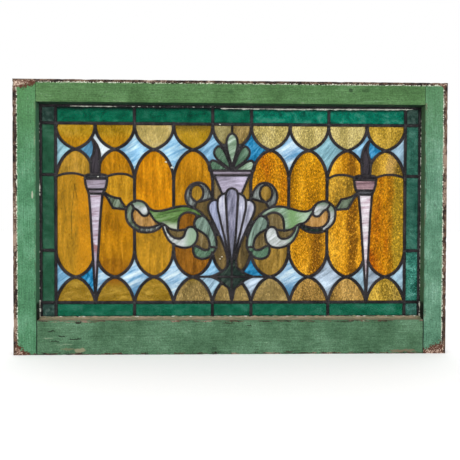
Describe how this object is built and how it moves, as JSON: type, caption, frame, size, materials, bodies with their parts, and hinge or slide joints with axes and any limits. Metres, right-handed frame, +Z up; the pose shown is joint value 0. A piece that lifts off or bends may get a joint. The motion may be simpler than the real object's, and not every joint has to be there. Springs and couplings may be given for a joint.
{
  "type": "leaded stained glass transom sash",
  "caption": "Fixed wooden transom sash, painted and worn, around a leaded stained glass panel with a green border, amber scallop lattice, torches, scrolls and a central urn with a fan.",
  "frame": {"origin": "middle of the sash's underside, halfway through its thickness, where it beds on the sill", "axes": "+Z up, +X to the right seen from the front, the front (the recessed side of the panel) faces -Y"},
  "size_m": [0.914, 0.035, 0.576],
  "materials": {
    "painted_wood": "old green oil paint over softwood, chipped and worn",
    "oxidised_lead": "dull dark grey lead with soldered joints",
    "border_glass": "dark green cathedral glass",
    "amber_glass": "streaky amber cathedral glass, partly hammered",
    "lavender_glass": "streaky lavender opalescent glass",
    "blue_glass": "streaky blue and white opalescent glass",
    "leaf_glass": "mottled green opalescent glass",
    "opal_glass": "wispy white opalescent glass",
    "brown_glass": "brown and dark streaky glass"
  },
  "bodies": {
    "root": {"stile_left": "painted_wood", "stile_right": "painted_wood", "rail_top": "painted_wood", "rail_bottom": "painted_wood", "bead_left": "painted_wood", "bead_right": "painted_wood", "bead_top": "painted_wood", "bead_bottom": "painted_wood", "lead_came_net": "oxidised_lead", "urn_bowl": "lavender_glass", "border_top_middle": "border_glass", "border_bottom_middle": "border_glass", "border_top_inner_left": "border_glass", "border_top_inner_right": "border_glass", "border_top_outer_left": "border_glass", "border_top_outer_right": "border_glass", "border_bottom_inner_left": "border_glass", "border_bottom_inner_right": "border_glass", "border_bottom_outer_left": "border_glass", "border_bottom_outer_right": "border_glass", "border_side_high_left": "border_glass", "border_side_high_right": "border_glass", "border_side_middle_left": "border_glass", "border_side_middle_right": "border_glass", "border_side_low_left": "border_glass", "border_side_low_right": "border_glass", "scallop_high_outer_left": "amber_glass", "scallop_high_outer_right": "amber_glass", "scallop_high_torch_left": "amber_glass", "scallop_high_torch_right": "amber_glass", "scallop_high_scroll_left": "amber_glass", "scallop_high_scroll_right": "amber_glass", "scallop_high_urn_left": "amber_glass", "scallop_high_urn_right": "amber_glass", "scallop_low_outer_left": "amber_glass", "scallop_low_outer_right": "amber_glass", "scallop_low_torch_left": "amber_glass", "scallop_low_torch_right": "amber_glass", "scallop_low_scroll_left": "amber_glass", "scallop_low_scroll_right": "amber_glass", "scallop_low_urn_left": "amber_glass", "scallop_low_urn_right": "amber_glass", "arch_outer_left": "amber_glass", "arch_outer_right": "amber_glass", "arch_torch_left": "amber_glass", "arch_torch_right": "amber_glass", "arch_scroll_left": "amber_glass", "arch_scroll_right": "amber_glass", "arch_urn_left": "amber_glass", "arch_urn_right": "amber_glass", "long_pane_outer_left": "amber_glass", "long_pane_outer_right": "amber_glass", "pane_over_arrow_left": "amber_glass", "pane_over_arrow_right": "amber_glass", "long_pane_torch_left": "amber_glass", "long_pane_torch_right": "amber_glass", "low_pane_scroll_left": "amber_glass", "low_pane_scroll_right": "amber_glass", "low_pane_urn_left": "amber_glass", "low_pane_urn_right": "amber_glass"}
  },
  "joints": []
}
